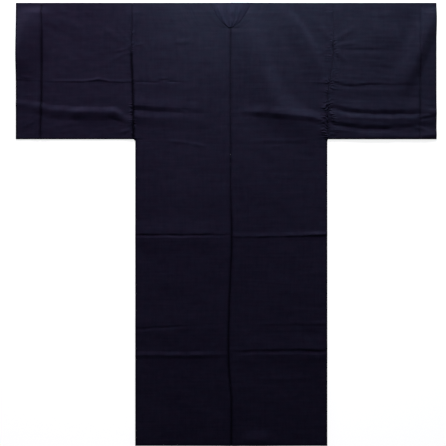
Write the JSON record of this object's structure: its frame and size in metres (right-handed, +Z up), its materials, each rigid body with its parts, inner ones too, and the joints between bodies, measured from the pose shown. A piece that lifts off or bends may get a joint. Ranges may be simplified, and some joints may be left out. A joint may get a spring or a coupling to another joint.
{
  "type": "kimono",
  "caption": "Full-length T-shaped robe laid flat with its back up: straight sleeves, joined sleeve ends, centre back seam and folded collar band.",
  "frame": {"origin": "middle of the laid garment's outline, on the surface it lies on", "axes": "+Y from the hem to the shoulder line, +Z up out of the back, +X to the wearer's right sleeve"},
  "size_m": [1.329, 1.4, 0.0085],
  "materials": {
    "body_cloth": "dark navy plain weave with faint crosswise slubs and a soft sheen",
    "sleeve_cloth": "dark navy plain weave, the same cloth as the body",
    "collar_cloth": "dark navy plain weave, folded double, a little lighter where it catches the light"
  },
  "bodies": {
    "root": {"body_left": "body_cloth", "body_right": "body_cloth", "overlap_left": "body_cloth", "overlap_right": "body_cloth", "sleeve_left": "sleeve_cloth", "sleeve_right": "sleeve_cloth", "sleeve_end_left": "sleeve_cloth", "sleeve_end_right": "sleeve_cloth", "collar": "collar_cloth"}
  },
  "joints": []
}
